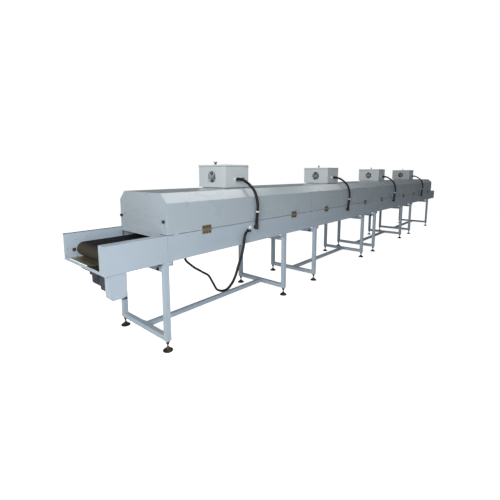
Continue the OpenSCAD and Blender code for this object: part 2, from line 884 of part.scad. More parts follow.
module lamp_bank(i) {
    x0 = module_x(i) + reflector_in;
    length = module_len - 2 * reflector_in;
    z0 = hood_z0 + reflector_h;
    z1 = z0 + reflector_fold;
    y1 = hood_y - hood_wall;
    lamp_z = z0 + lamp_drop / 2;
    color("Gainsboro") {
        difference() {
            block([x0, -y1, z0], [x0 + length, y1, z1]);
            block([x0 - over, -y1 + reflector_t, z0 - over], [x0 + length + over, y1 - reflector_t, z1 - reflector_t]);
            for (k = [0 : lamps - 1], s = [-1, 1])
                bar_y(x0 + (k + 0.5) * length / lamps, s > 0 ? y1 - reflector_t - over : -y1 - over, lamp_z,
                      lamp_r + rest_gap, reflector_t + 2 * over, 24);
        }
        for (k = [0 : lamps - 1]) {
            x = x0 + (k + 0.5) * length / lamps;
            y_cap = y1 - reflector_t - rest_gap;
            union() {
                bar_y(x, -y1 + rest_gap, lamp_z, lamp_r, 2 * (y1 - rest_gap), 24);
                bar_y(x, -y_cap, lamp_z, cap_r, cap_len, 24);
                bar_y(x, y_cap - cap_len, lamp_z, cap_r, cap_len, 24);
            }
        }
    }
}

// End gates
// A slotted plate slides on the outside of the hood's end under two knobs, and carries a lower blade.
gate_gap = 0.3;
gate_side = 5;
blade_lap = 9;
blade_sheet = 2;
slot_r = 4;
knob_screw_r = 3;
knob_y = side_y - knob_in;
knob_z = bed_top + knob_h;
gate_z0 = belt_top + gate_clear;
gate_z1 = bed_top + gate_rise;

module gate_outline() {
    half = hood_y - gate_side;
    difference() {
        translate([-half, hood_z0]) square([2 * half, gate_z1 - hood_z0]);
        for (s = [-1, 1]) union() {
            translate([s * knob_y, knob_z]) circle(r = slot_r, $fn = 24);
            translate([s * knob_y, knob_z - gate_travel]) circle(r = slot_r, $fn = 24);
            translate([s * knob_y - slot_r, knob_z - gate_travel]) square([2 * slot_r, gate_travel]);
        }
    }
}

gate_y0 = duct_y + mouth_in;
gate_y1 = rail_y - gate_side;
gate_in_x = tunnel_x0 + hood_gap / 2 - gate_gap - gate_t;
gate_out_x = tunnel_x1 - hood_gap / 2 + gate_gap;

// The blade reaches down between the sides of the open belt
module gate_blade(x0) {
    block([x0, gate_y0, gate_z0], [x0 + blade_sheet, gate_y1, hood_z0 + blade_lap]);
}

module infeed_gate() {
    color(paint) {
        along(gate_in_x, gate_t) gate_outline();
        gate_blade(gate_in_x - gate_gap - blade_sheet);
    }
}

module outfeed_gate() {
    color(paint) {
        along(gate_out_x, gate_t) gate_outline();
        gate_blade(gate_out_x + gate_t + gate_gap);
    }
}

knob_len = 18;
knob_neck = 4;
knob_lobes = 5;
lobe_r = 3.5;
stud_seat = 10;

// The knob's turned body with a blind bore for its stud and finger lobes cut into its rim, facing along -X
module knob(s) {
    difference() {
        rotate([0, -90, 0]) rotate_extrude() polygon([
            [0, 0], [knob_r / 2, 0], [knob_r / 2, knob_neck], [knob_r, knob_neck + lobe_r / 2],
            [knob_r, knob_len - lobe_r], [knob_r - lobe_r, knob_len], [0, knob_len]]);
        translate([-stud_seat - rest_gap, 0, 0]) rotate([0, 90, 0])
            cylinder(r = knob_screw_r + run_fit, h = stud_seat + rest_gap + over, $fn = 24);
        for (k = [0 : knob_lobes - 1]) rotate([k * 360 / knob_lobes, 0, 0])
            translate([-knob_len - over, 0, knob_r + lobe_r / 2]) rotate([0, 90, 0])
                cylinder(r = lobe_r, h = knob_len - knob_neck + over, $fn = 24);
    }
}

module infeed_knob(s) {
    color("Black") translate([gate_in_x - gate_gap, s * knob_y, knob_z]) knob();
}

module outfeed_knob(s) {
    color("Black") translate([gate_out_x + gate_t + gate_gap, s * knob_y, knob_z]) mirror([1, 0, 0]) knob();
}

// Top boxes
// A folded box with a capped lid stands on a collar; its fan blows in through the end wall.
collar_in = 24;
lid_h = 16;
lid_t = 1.5;
fan_side = 120;
fan_depth = 26;
fan_wall = 3;
fan_screw = 5;
guard_ring_w = 2;
guard_ring_t = 2.5;
guard_rings = 4;
guard_spoke_w = 4;
fan_share = 0.465;
fan_z = hood_top + box_lift + fan_share * box_h;
fan_hub_r = 18;
fan_pin_r = 3;
fan_back_t = 3;
strut_w = 6;
blade_depth = 15;
blades = 7;
blade_t = 2;
blade_turn = 35;
blade_gap = 2;
gland_x = 134;
stub_x = 240;
box_gland_h = 77;
stub_h = 84;
gland_r = 15;
gland_len = 26;
gland_flange_r = 19;
gland_flange_t = 4;
stub_r = 9;
stub_len = 15;
latch_in = 14;
latch_back = 38;
latch_w = 41;
latch_h = 28;
latch_t = 8;

function box_x(i) = module_x(i) + module_len / 2 - box_ahead - box_len / 2;
box_y0 = box_back - box_w / 2;
box_y1 = box_back + box_w / 2;
box_z0 = hood_top + box_lift;
box_z1 = box_z0 + box_h;

module box_shell(x0) {
    wall = box_wall;
    lid_room = lid_t + rest_gap;
    difference() {
        union() {
            block([x0, box_y0, box_z0], [x0 + box_len, box_y1, box_z1 - lid_t - rest_gap]);
            block([x0 + collar_in, box_y0 + collar_in, hood_top],
                  [x0 + box_len - collar_in, box_y1 - collar_in, box_z0]);
        }
        block([x0 + wall, box_y0 + wall, box_z0 + wall], [x0 + box_len - wall, box_y1 - wall, box_z1 + over]);
        block([x0 + collar_in + wall, box_y0 + collar_in + wall, hood_top - over],
              [x0 + box_len - collar_in - wall, box_y1 - collar_in - wall, box_z0 + wall + over]);
        bar_x(x0 - over, box_back, fan_z, fan_r, wall + 2 * over, 96);
    }
}

module box_lid(x0) {
    out = lid_t + rest_gap;
    difference() {
        block([x0 - out, box_y0 - out, box_z1 - lid_h], [x0 + box_len + out, box_y1 + out, box_z1]);
        block([x0 - rest_gap, box_y0 - rest_gap, box_z1 - lid_h - over],
              [x0 + box_len + rest_gap, box_y1 + rest_gap, box_z1 - lid_t]);
    }
}

// Rings and spokes over the fan's opening
module fan_guard(x0) {
    pitch = fan_r / guard_rings;
    union() {
        for (k = [1 : guard_rings]) difference() {
            bar_x(x0 - guard_ring_t, box_back, fan_z, k * pitch + guard_ring_w, guard_ring_t, 64);
            bar_x(x0 - guard_ring_t - over, box_back, fan_z, k * pitch, guard_ring_t + 2 * over, 64);
        }
        for (turn = [45, 135]) translate([x0 - guard_ring_t / 2, box_back, fan_z]) rotate([turn, 0, 0])
            cube([guard_ring_t, guard_spoke_w, 2 * (fan_r + guard_ring_w)], center = true);
    }
}

// A square frame behind the wall, with struts to the motor boss that carries the rotor's pin
module fan_frame(x0) {
    half = fan_side / 2;
    fx = x0 + box_wall + rest_gap;
    back_x = fx + fan_depth - fan_back_t;
    union() {
        difference() {
            block([fx, box_back - half, fan_z - half], [fx + fan_depth, box_back + half, fan_z + half]);
            bar_x(fx - over, box_back, fan_z, fan_r + blade_gap, fan_depth + 2 * over, 96);
        }
        intersection() {
            for (turn = [0, 90]) translate([back_x + fan_back_t / 2, box_back, fan_z]) rotate([turn, 0, 0])
                cube([fan_back_t, strut_w, fan_side], center = true);
            bar_x(back_x, box_back, fan_z, fan_r + blade_gap + fan_wall / 2, fan_back_t, 96);
        }
        bar_x(back_x, box_back, fan_z, fan_hub_r, fan_back_t);
        bar_x(fx + fan_screw, box_back, fan_z, fan_pin_r, fan_depth - fan_screw, 24);
    }
}

// Cable glands on the front wall: the conduit's, and a smaller one for the lamp leads
module box_glands(x0) {
    z = box_z0 + box_gland_h;
    bar_y(x0 + gland_x, box_y0 - gland_flange_t, z, gland_flange_r, gland_flange_t);
    bar_y(x0 + gland_x, box_y0 - gland_flange_t - gland_len, z, gland_r, gland_len, 6);
    bar_y(x0 + stub_x, box_y0 - stub_len, box_z0 + stub_h, stub_r, stub_len);
}

// A wing screw holds the lid down at the fan's end
module lid_latch(x0) {
    x = x0 + latch_in;
    y = box_back - latch_back;
    union() {
        translate([x, y, box_z1]) cylinder(r = latch_t, h = latch_h / 2, $fn = 32);
        translate([x, y - latch_t / 2, box_z1 + latch_h / 2]) rotate([-90, 0, 0]) linear_extrude(latch_t)
            polygon([[-latch_t, latch_h / 2 - over], [-latch_w / 2, -latch_h / 2], [-latch_w / 4, -latch_h / 2],
                     [0, -over], [latch_w / 4, -latch_h / 2], [latch_w / 2, -latch_h / 2],
                     [latch_t, latch_h / 2 - over]]);
    }
}

module control_box(i) {
    x0 = box_x(i);
    color(paint) {
        union() {
            box_shell(x0);
            fan_guard(x0);
            box_glands(x0);
        }
        union() {
            box_lid(x0);
            lid_latch(x0);
        }
        fan_frame(x0);
    }
}

module fan_rotor(i) {
    x0 = box_x(i) + box_wall + rest_gap + fan_screw - fan_back_t;
    length = fan_depth - fan_back_t - fan_screw;
    tip = fan_r - blade_gap;
    color("DarkSlateGray") difference() {
        union() {
            bar_x(x0, box_back, fan_z, fan_hub_r, length);
            intersection() {
                bar_x(x0, box_back, fan_z, tip, length, 96);
                for (k = [0 : blades - 1]) translate([x0 + length / 2, box_back, fan_z])
                    rotate([k * 360 / blades, 0, 0]) translate([0, 0, (tip + fan_hub_r) / 2]) rotate([0, 0, blade_turn])
                        cube([blade_depth, blade_t, tip], center = true);
            }
        }
        bar_x(x0 - over, box_back, fan_z, fan_pin_r + run_fit, length + 2 * over, 24);
    }
}

// Cords
// Routes are given from the corner of their module, one point for each ring of the tube.
conduit_x = 965;
conduit_route = [
    [944, -140, 1262], [945, -175, 1261], [946, -215, 1252], [948, -258, 1231], [951, -300, 1200],
    [954, -337, 1160], [957, -361, 1108], [959, -373, 1055], [960, -376, 1005], [961, -371, 955],
    [963, -364, 905], [965, -360, 870], [965, -360, 838]];
cable_gland_x = 862;
cable_gland_z = 798;
cable_route = [
    [840, -360, 798], [820, -360, 790], [803, -360, 768], [790, -360, 728], [783, -360, 673],
    [770, -360, 632], [757, -360, 593], [732, -360, 542], [706, -360, 492], [692, -358, 452],
    [676, -355, 414], [648, -352, 370], [612, -350, 338], [585, -347, 321], [560, -345, 316],
    [535, -344, 317], [510, -340, 323], [485, -338, 336], [464, -335, 354], [430, -325, 421],
    [398, -315, 480], [349, -305, 516], [310, -300, 544], [272, -295, 570], [240, -289, 599],
    [212, -284, 625], [196, -281, 645], [190, -280, 664]];
cable_end = cable_route[len(cable_route) - 1];

function unit(v) = v / norm(v);
function cord_way(pts, k) = unit(pts[min(k + 1, len(pts) - 1)] - pts[max(k - 1, 0)]);

// Rings square to the route, joined by faces, with the first and last ring turned to meet the glands
module cord(pts, r, sides, side_ref, way0, way1) {
    last = len(pts) - 1;
    rings = [for (k = [0 : last])
        let (w = k == 0 ? way0 : (k == last ? way1 : cord_way(pts, k)),
             u = unit(cross(w, side_ref)), v = cross(w, u))
        for (a = [0 : sides - 1]) pts[k] + r * (u * cos(a * 360 / sides) + v * sin(a * 360 / sides))];
    faces = concat(
        [[for (a = [0 : sides - 1]) a]],
        [for (k = [0 : last - 1], a = [0 : sides - 1])
            [k * sides + a, (k + 1) * sides + a, (k + 1) * sides + (a + 1) % sides]],
        [for (k = [0 : last - 1], a = [0 : sides - 1])
            [k * sides + a, (k + 1) * sides + (a + 1) % sides, k * sides + (a + 1) % sides]],
        [[for (a = [sides - 1 : -1 : 0]) last * sides + a]]);
    polyhedron(points = rings, faces = faces, convexity = 6);
}

module conduit(i) {
    color("Black") translate([module_x(i), 0, 0])
        cord(conduit_route, conduit_d / 2, 10, [1, 0, 0], [0, -1, 0], [0, 0, -1]);
}

module supply_cable() {
    color("Black") translate([module_x(0), 0, 0])
        cord(cable_route, cable_d / 2, 10, [0, 1, 0], [-1, 0, 0], [0, 0, 1]);
}

// Bed glands
// An elbow on the bed's side takes each conduit, and two more glands take the supply cable.
bed_gland_len = 38;
bed_gland_r = 17;
bed_gland_z = conduit_route[len(conduit_route) - 1][2] - bed_gland_len / 2;
washer_t = 3;
washer_r = 16;
stub_reach = 12;
cable_gland_r = 12;

module bed_elbow(x) {
    p = conduit_route[len(conduit_route) - 1];
    inner_y = -side_y + stub_reach;
    union() {
        translate([x, p[1], p[2] - bed_gland_len]) cylinder(r = bed_gland_r, h = bed_gland_len);
        bar_y(x, p[1], bed_gland_z, gland_stub_r, inner_y - p[1]);
        bar_y(x, -side_y - washer_t, bed_gland_z, washer_r, washer_t);
    }
}

module cable_glands() {
    x = module_x(0) + cable_gland_x;
    start = cable_route[0];
    inner_y = -side_y + stub_reach;
    union() {
        bar_x(module_x(0) + start[0], start[1], start[2], cable_gland_r,
              cable_gland_x - start[0] + cable_gland_r);
        bar_y(x, start[1], cable_gland_z, gland_stub_r, inner_y - start[1]);
        bar_y(x, -side_y - washer_t, cable_gland_z, washer_r, washer_t);
    }
    union() {
        translate([module_x(0) + cable_end[0], cable_end[1], cable_end[2]]) {
            cylinder(r = cable_gland_r, h = bed_bottom - cable_end[2]);
            cylinder(r = gland_stub_r, h = bed_bottom - cable_end[2] + stub_reach);
        }
    }
}

module bed_glands() {
    color("Black") {
        for (i = [0 : modules - 1]) bed_elbow(module_x(i) + conduit_x);
        cable_glands();
    }
}

leg_frames(0);  // leg_frames_1
leg_frames(1);  // leg_frames_2
leg_frames(2);  // leg_frames_3
leg_frames(3);  // leg_frames_4
stretchers();
levelling_feet();
foot_lock_nuts();
bed(0);  // bed_1
bed(1);  // bed_2
bed(2);  // bed_3
bed(3);  // bed_4
drive_housing();
infeed_back_rail();
motor_plate();
outfeed_rails();
end_crossbars();
chain_guard();
gear_motor();
gearbox();
drive_chain();
roller_bearings();
belt();
belt_supports();
hinge_bed_leaves();
bed_glands();
supply_cable();
drive_roller();
drive_sprocket();
motor_sprocket();
tail_roller();
hood(0);  // hood_1
hood(1);  // hood_2
hood(2);  // hood_3
hood(3);  // hood_4
hinge_hood_leaves(0);  // hinge_hood_leaves_1
hinge_hood_leaves(1);  // hinge_hood_leaves_2
hinge_hood_leaves(2);  // hinge_hood_leaves_3
hinge_hood_leaves(3);  // hinge_hood_leaves_4
lamp_bank(0);  // lamp_bank_1
lamp_bank(1);  // lamp_bank_2
lamp_bank(2);  // lamp_bank_3
lamp_bank(3);  // lamp_bank_4
control_box(0);  // control_box_1
control_box(1);  // control_box_2
control_box(2);  // control_box_3
control_box(3);  // control_box_4
fan_rotor(0);  // fan_rotor_1
fan_rotor(1);  // fan_rotor_2
fan_rotor(2);  // fan_rotor_3
fan_rotor(3);  // fan_rotor_4
conduit(0);  // conduit_1
conduit(1);  // conduit_2
conduit(2);  // conduit_3
conduit(3);  // conduit_4
infeed_gate();
outfeed_gate();
infeed_knob(-1);  // infeed_knob_front
infeed_knob(1);  // infeed_knob_back
outfeed_knob(-1);  // outfeed_knob_front
outfeed_knob(1);  // outfeed_knob_back
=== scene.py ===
import json
import math

import bmesh
import bpy
import numpy as np
from mathutils import Matrix


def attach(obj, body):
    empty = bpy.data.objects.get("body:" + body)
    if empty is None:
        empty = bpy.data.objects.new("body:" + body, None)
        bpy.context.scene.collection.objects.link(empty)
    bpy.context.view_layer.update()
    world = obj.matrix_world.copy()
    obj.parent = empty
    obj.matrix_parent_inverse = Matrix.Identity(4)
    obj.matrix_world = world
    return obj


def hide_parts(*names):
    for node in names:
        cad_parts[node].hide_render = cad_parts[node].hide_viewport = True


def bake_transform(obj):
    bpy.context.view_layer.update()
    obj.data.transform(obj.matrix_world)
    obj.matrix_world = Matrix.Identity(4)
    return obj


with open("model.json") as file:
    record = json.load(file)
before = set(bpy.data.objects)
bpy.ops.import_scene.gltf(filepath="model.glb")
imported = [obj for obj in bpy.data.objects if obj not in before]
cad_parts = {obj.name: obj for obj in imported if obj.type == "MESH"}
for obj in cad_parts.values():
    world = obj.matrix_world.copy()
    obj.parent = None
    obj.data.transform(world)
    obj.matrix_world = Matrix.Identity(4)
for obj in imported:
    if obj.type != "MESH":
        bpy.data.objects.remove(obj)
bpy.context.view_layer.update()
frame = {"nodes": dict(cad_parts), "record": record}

# Measures of the line that the looks share with the frame, in metres
line = dict(startX=-4.4225, tunnelX=-3.9625, moduleLen=2.0, modules=4, sideY=0.335, railY=0.317,
            boxStart=0.810, boxLen=0.320, boxY0=-0.110, boxY1=0.270)


def moduleX(i):
    # the near end of module i: the tunnel's near end plus i module lengths
    return line["tunnelX"] + i * line["moduleLen"]


# Materials

def newMaterial(name):
    # a node material with its nodes, its links and its shader
    mat = bpy.data.materials.new(name)
    mat.use_nodes = True
    return mat, mat.node_tree.nodes, mat.node_tree.links, mat.node_tree.nodes["Principled BSDF"]


def addNoise(nodes, links, coord, scale, detail, stretch=(1, 1, 1)):
    # noise at scale times the place, stretched along each axis
    mapping = nodes.new("ShaderNodeMapping")
    mapping.inputs["Scale"].default_value = stretch
    links.new(coord, mapping.inputs["Vector"])
    noise = nodes.new("ShaderNodeTexNoise")
    noise.inputs["Scale"].default_value = scale
    noise.inputs["Detail"].default_value = detail
    links.new(mapping.outputs["Vector"], noise.inputs["Vector"])
    return noise


def ramp(nodes, links, source, low, high, lowAt=0.3, highAt=0.7):
    # low + (high - low) (x - lowAt) / (highAt - lowAt), held between low and high
    node = nodes.new("ShaderNodeMapRange")
    node.inputs["From Min"].default_value = lowAt
    node.inputs["From Max"].default_value = highAt
    node.inputs["To Min"].default_value = low
    node.inputs["To Max"].default_value = high
    links.new(source, node.inputs["Value"])
    return node.outputs["Result"]


# What a surface has where its own settings name nothing else
usual = dict(stretch=(1, 1, 1), broad=3.0, broadDetail=4, fine=220.0, fineDetail=3, dirtDetail=5, dirtFrom=0.5,
             dirtTo=0.8, roughSpread=0.08, metal=0.0, coat=0.0, coatRough=0.25, shine=0.5, bump=0.12,
             bumpDepth=0.0004, edge=0.0, edgeSamples=4)


def surface(settings):
    # colour = colour + share (tint - colour); roughness = rough + or - spread by a broad noise; bump by a fine noise
    own = {**usual, **settings}
    mat, nodes, links, shader = newMaterial(own["name"])
    coord = nodes.new("ShaderNodeTexCoord").outputs["Object"]
    broad = addNoise(nodes, links, coord, own["broad"], own["broadDetail"], own["stretch"])
    fine = addNoise(nodes, links, coord, own["fine"], own["fineDetail"], own["stretch"])
    mix = nodes.new("ShaderNodeMix")
    mix.data_type = "RGBA"
    mix.inputs["A"].default_value = (*own["colour"], 1)
    mix.inputs["B"].default_value = (*own["tint"], 1)
    # Painted sheen: a tint before a place along the line stands for the light on the belt's wrap round the near roller
    if "paintedSheenX" in own:  # the tint lies before a place along the line instead of in patches
        split = nodes.new("ShaderNodeSeparateXYZ")
        links.new(coord, split.inputs["Vector"])
        share = ramp(nodes, links, split.outputs["X"], 1, 0, *own["paintedSheenX"])
    else:
        share = ramp(nodes, links, broad.outputs["Fac"], 0, 1)
    links.new(share, mix.inputs["Factor"])
    colour = mix.outputs["Result"]
    if "dirt" in own:  # spots of a third colour where another noise peaks
        streak = addNoise(nodes, links, coord, own["dirtScale"], own["dirtDetail"])
        over = nodes.new("ShaderNodeMix")
        over.data_type = "RGBA"
        links.new(colour, over.inputs["A"])
        over.inputs["B"].default_value = (*own["dirt"], 1)
        share = ramp(nodes, links, streak.outputs["Fac"], 0, own["dirtShare"], own["dirtFrom"], own["dirtTo"])
        links.new(share, over.inputs["Factor"])
        colour = over.outputs["Result"]
    links.new(colour, shader.inputs["Base Color"])
    low, high = own["rough"] - own["roughSpread"], own["rough"] + own["roughSpread"]
    links.new(ramp(nodes, links, broad.outputs["Fac"], low, high), shader.inputs["Roughness"])
    shader.inputs["Metallic"].default_value = own["metal"]
    shader.inputs["Coat Weight"].default_value = own["coat"]
    shader.inputs["Coat Roughness"].default_value = own["coatRough"]
    shader.inputs["Specular IOR Level"].default_value = own["shine"]
    bump = nodes.new("ShaderNodeBump")
    bump.inputs["Strength"].default_value = own["bump"]
    bump.inputs["Distance"].default_value = own["bumpDepth"]
    links.new(fine.outputs["Fac"], bump.inputs["Height"])
    if own["edge"]:  # sheet edges and folds catch the light as if they were rounded
        soft = nodes.new("ShaderNodeBevel")
        soft.samples = own["edgeSamples"]
        soft.inputs["Radius"].default_value = own["edge"]
        links.new(soft.outputs["Normal"], bump.inputs["Normal"])
    links.new(bump.outputs["Normal"], shader.inputs["Normal"])
    return mat


looks = {}
for settings in (
    dict(name="framePaint", colour=(0.435, 0.52, 0.60), tint=(0.425, 0.51, 0.588), rough=0.34, coat=0.25,
         fine=7, bump=0.35, bumpDepth=0.0012, roughSpread=0.02, edge=0.0011),
    dict(name="hoodPaint", colour=(0.43, 0.50, 0.555), tint=(0.423, 0.490, 0.542), rough=0.28, coat=0.35,
         fine=7, bump=0.35, bumpDepth=0.0012, roughSpread=0.02, edge=0.0011),
    dict(name="boxPaint", colour=(0.67, 0.72, 0.75), tint=(0.655, 0.705, 0.735), rough=0.32, coat=0.3, fine=7,
         bump=0.35, bumpDepth=0.0012, roughSpread=0.02, edge=0.0011),
    dict(name="zincPlate", colour=(0.42, 0.38, 0.22), tint=(0.30, 0.30, 0.20), rough=0.38, metal=0.8, broad=14),
    dict(name="steel", colour=(0.52, 0.52, 0.53), tint=(0.42, 0.42, 0.44), rough=0.32, metal=1.0, stretch=(1, 30, 1)),
    dict(name="darkSteel", colour=(0.045, 0.042, 0.04), tint=(0.12, 0.09, 0.07), rough=0.42, metal=0.7, broad=18),
    dict(name="castBearing", colour=(0.16, 0.18, 0.20), tint=(0.11, 0.12, 0.14), rough=0.6, bump=0.5, fine=300),
    dict(name="brass", colour=(0.52, 0.43, 0.26), tint=(0.36, 0.29, 0.18), rough=0.34, metal=0.9,
         stretch=(1, 1, 14), fine=160, dirt=(0.22, 0.19, 0.15), dirtScale=30, dirtShare=0.5),
    dict(name="motorPaint", colour=(0.020, 0.028, 0.045), tint=(0.035, 0.042, 0.055), rough=0.38, bump=0.4, fine=260),
    # The belt's brown tint before its near end is a painted sheen on the wrap round the near roller; its top stays
    # dark
    dict(name="beltFabric", colour=(0.016, 0.016, 0.019), tint=(0.058, 0.053, 0.040), paintedSheenX=(-4.330, -4.275),
         rough=0.85, broad=6, shine=0.08, fine=1400, bump=0.5),
    dict(name="cordRubber", colour=(0.006, 0.006, 0.007), tint=(0.012, 0.012, 0.013), rough=0.5, shine=0.3, fine=500),
    dict(name="blackPlastic", colour=(0.013, 0.013, 0.014), tint=(0.03, 0.03, 0.032), rough=0.4, fine=600),
    dict(name="fanPlastic", colour=(0.02, 0.02, 0.023), tint=(0.035, 0.035, 0.04), rough=0.45, fine=400),
    dict(name="lampReflector", colour=(0.75, 0.75, 0.76), tint=(0.65, 0.66, 0.68), rough=0.25, metal=1.0),
    dict(name="whitePlastic", colour=(0.80, 0.80, 0.78), tint=(0.72, 0.72, 0.69), rough=0.5, fine=400),
    dict(name="quartz", colour=(0.86, 0.80, 0.70), tint=(0.90, 0.88, 0.82), rough=0.18, coat=0.6, broad=9, bump=0.03),
    dict(name="boltZinc", colour=(0.50, 0.50, 0.50), tint=(0.38, 0.38, 0.36), rough=0.35, metal=0.9, broad=60),
):
    looks[settings["name"]] = surface(settings)

slotLooks = {
    "frame_paint": "framePaint", "hood_paint": "hoodPaint", "zinc_plate": "zincPlate", "steel": "steel",
    "dark_steel": "darkSteel", "cast_bearing": "castBearing", "brass": "brass", "motor_paint": "motorPaint",
    "belt_rubber": "beltFabric", "cord_rubber": "cordRubber", "black_plastic": "blackPlastic",
    "fan_plastic": "fanPlastic", "lamp_reflector": "lampReflector",
}
for part in frame["record"]["subparts"]:
    node = frame["nodes"][part["node"]]
    node.data.materials.clear()
    look = "boxPaint" if part["node"].startswith("control_box") else slotLooks[part["material_slot"]]
    node.data.materials.append(looks[look])
print("materials ready", len(looks))


# Mesh helpers

def gridFaces(rows, cols, wrapRows=False):
    # quad (i, j) joins points (i, j), (i, j + 1), (i + 1, j + 1) and (i + 1, j); every row closes on itself
    i = np.arange(rows if wrapRows else rows - 1)[:, None]
    j = np.arange(cols)[None, :]
    a = i * cols + j
    b = i * cols + (j + 1) % cols
    c = ((i + 1) % rows) * cols + (j + 1) % cols
    d = ((i + 1) % rows) * cols + j
    return np.stack([a, b, c, d], -1).reshape(-1, 4)


# Points nearer than mergeDist become one, folds above sharpAngle stay sharp, an axis past nearZ counts as upright
meshing = dict(mergeDist=1e-6, sharpAngle=math.radians(38), nearZ=0.9)


def makePiece(name, parts, look, body, smooth=True):
    # parts is a list of (points, quads); part n's quads count on from the points of the parts before it
    points, faces, start = [], [], 0
    for p, f in parts:
        p = np.asarray(p, float).reshape(-1, 3)
        points.append(p)
        faces.append(np.asarray(f) + start)
        start += len(p)
    points = np.concatenate(points)
    faces = np.concatenate(faces)
    mesh = bpy.data.meshes.new(name)
    mesh.from_pydata(points.tolist(), [], faces.tolist())
    shape = bmesh.new()  # poles are merged, then every face is turned outwards
    shape.from_mesh(mesh)
    bmesh.ops.remove_doubles(shape, verts=shape.verts, dist=meshing["mergeDist"])
    bmesh.ops.recalc_face_normals(shape, faces=shape.faces)
    shape.to_mesh(mesh)
    shape.free()
    mesh.validate()
    if smooth:
        mesh.shade_smooth()
        mesh.set_sharp_from_angle(angle=meshing["sharpAngle"])
    else:
        mesh.shade_flat()
    mesh.materials.append(looks[look])
    obj = bpy.data.objects.new(name, mesh)
    bpy.context.scene.collection.objects.link(obj)
    if body:
        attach(obj, body)
    return obj


def axisFrame(axis):
    # w = axis / |axis|, u = ref x w / |ref x w|, v = w x u, with Z as ref, or X where the axis is near Z
    w = np.asarray(axis, float) / np.linalg.norm(axis)
    ref = np.array([0, 0, 1.0]) if abs(w[2]) < meshing["nearZ"] else np.array([1.0, 0, 0])
    u = np.cross(ref, w)
    u /= np.linalg.norm(u)
    return u, np.cross(w, u), w


def turned(profile, centre, axis, sides):
    # P(s, a) = centre + z(s) w + r(s) (cos a u + sin a v); the profile closes on the axis, or round a hole
    # where neither of its ends lies on the axis
    profile = np.asarray(profile, float)
    hole = profile[0, 0] > 0 and profile[-1, 0] > 0
    if not hole and profile[-1, 0] > 0:
        profile = np.vstack([profile, [0, profile[-1, 1]]])
    u, v, w = axisFrame(axis)
    a = np.arange(sides) * 2 * np.pi / sides
    ring = np.cos(a)[:, None] * u + np.sin(a)[:, None] * v
    points = np.asarray(centre, float) + profile[:, 1, None, None] * w + profile[:, 0, None, None] * ring[None]
    return points.reshape(-1, 3), gridFaces(len(profile), sides, wrapRows=hole)


def smoothPath(points, perSpan):
    # Catmull-Rom: P(t) = 0.5 (2 B + (C - A) t + (2 A - 5 B + 4 C - D) t^2 + (3 B - A - 3 C + D) t^3)
    p = np.asarray(points, float)
    p = np.vstack([2 * p[0] - p[1], p, 2 * p[-1] - p[-2]])
    t = np.linspace(0, 1, perSpan, endpoint=False)[:, None]
    spans = []
    for k in range(1, len(p) - 2):
        a, b, c, d = p[k - 1], p[k], p[k + 1], p[k + 2]
        spans.append(0.5 * (2 * b + (c - a) * t + (2 * a - 5 * b + 4 * c - d) * t ** 2
                            + (3 * b - a - 3 * c + d) * t ** 3))
    return np.vstack(spans + [p[-2][None]])


def sweep(path, radius, sides):
    # P(s, a) = C(s) + r(s) (cos a U(s) + sin a V(s)), U carried along the path without twist
    path = np.asarray(path, float)
    radius = np.broadcast_to(radius, (len(path),))
    ways = np.gradient(path, axis=0)
    ways /= np.linalg.norm(ways, axis=1)[:, None]
    u = axisFrame(ways[0])[0]
    rings = []
    for c, w, r in zip(path, ways, radius):
        u = u - w * np.dot(u, w)
        u /= np.linalg.norm(u)
        v = np.cross(w, u)
        a = np.arange(sides) * 2 * np.pi / sides
        rings.append(c + r * (np.cos(a)[:, None] * u + np.sin(a)[:, None] * v))
    rings = [np.tile(path[0], (sides, 1))] + rings + [np.tile(path[-1], (sides, 1))]  # both ends close to a point
    points = np.concatenate(rings)
    return points, gridFaces(len(rings), sides)


def alongPath(path):
    # s(k) = sum of |P(j + 1) - P(j)| for j below k
    return np.concatenate([[0], np.cumsum(np.linalg.norm(np.diff(path, axis=0), axis=1))])


def extruded(outline, axis, start, end, middle=None):
    # P(s, t) = O(s) + t n for an outline O in the plane across the axis; both caps close to the outline's middle
    outline = np.asarray(outline, float)
    n = "xyz".index(axis)
    across = [k for k in range(3) if k != n]
    middle = outline.mean(0) if middle is None else np.asarray(middle, float)
    rings = []
    for at, share in ((start, 0.0), (start, 1.0), (end, 1.0), (end, 0.0)):
        ring = np.zeros((len(outline), 3))
        ring[:, across] = middle + (outline - middle) * share
        ring[:, n] = at
        rings.append(ring)
    return np.concatenate(rings), gridFaces(4, len(outline))


def slab(x, y, z, axis):
    # the block between two values each of x, y and z, extruded along one axis
    spans = dict(x=x, y=y, z=z)
    start, end = spans.pop(axis)
    (lowA, highA), (lowB, highB) = spans.values()
    return extruded([(lowA, lowB), (highA, lowB), (highA, highB), (lowA, highB)], axis, start, end)


# Outlines of a bolt's head and washer, as shares of its size from the axis outwards
boltShape = dict(head=[(0.0, 0.62), (0.40, 0.62), (0.5, 0.52), (0.5, 0.0)], headSides=6, thick=0.12,
                 washer=[(0.0, 0.12), (0.82, 0.12), (0.86, 0.06), (0.86, 0.0)], washerSides=20)
screwShape = dict(steps=6, sides=16)


def boltHead(centre, axis, size):
    # a six-sided head on a round washer: each point is size times its share, the head raised by the washer
    lift = size * boltShape["thick"]
    head = [(size * r, size * z + lift) for r, z in boltShape["head"]]
    washer = [(size * r, size * z) for r, z in boltShape["washer"]]
    return [turned(head, centre, axis, boltShape["headSides"]), turned(washer, centre, axis, boltShape["washerSides"])]


def screwHead(centre, axis, size):
    # a low domed head: r = size / 2 cos t, z = size / 4 sin t
    t = np.linspace(np.pi / 2, 0, screwShape["steps"])
    profile = np.stack([size / 2 * np.cos(t), size / 4 * np.sin(t)], 1)
    return [turned(profile, centre, axis, screwShape["sides"])]


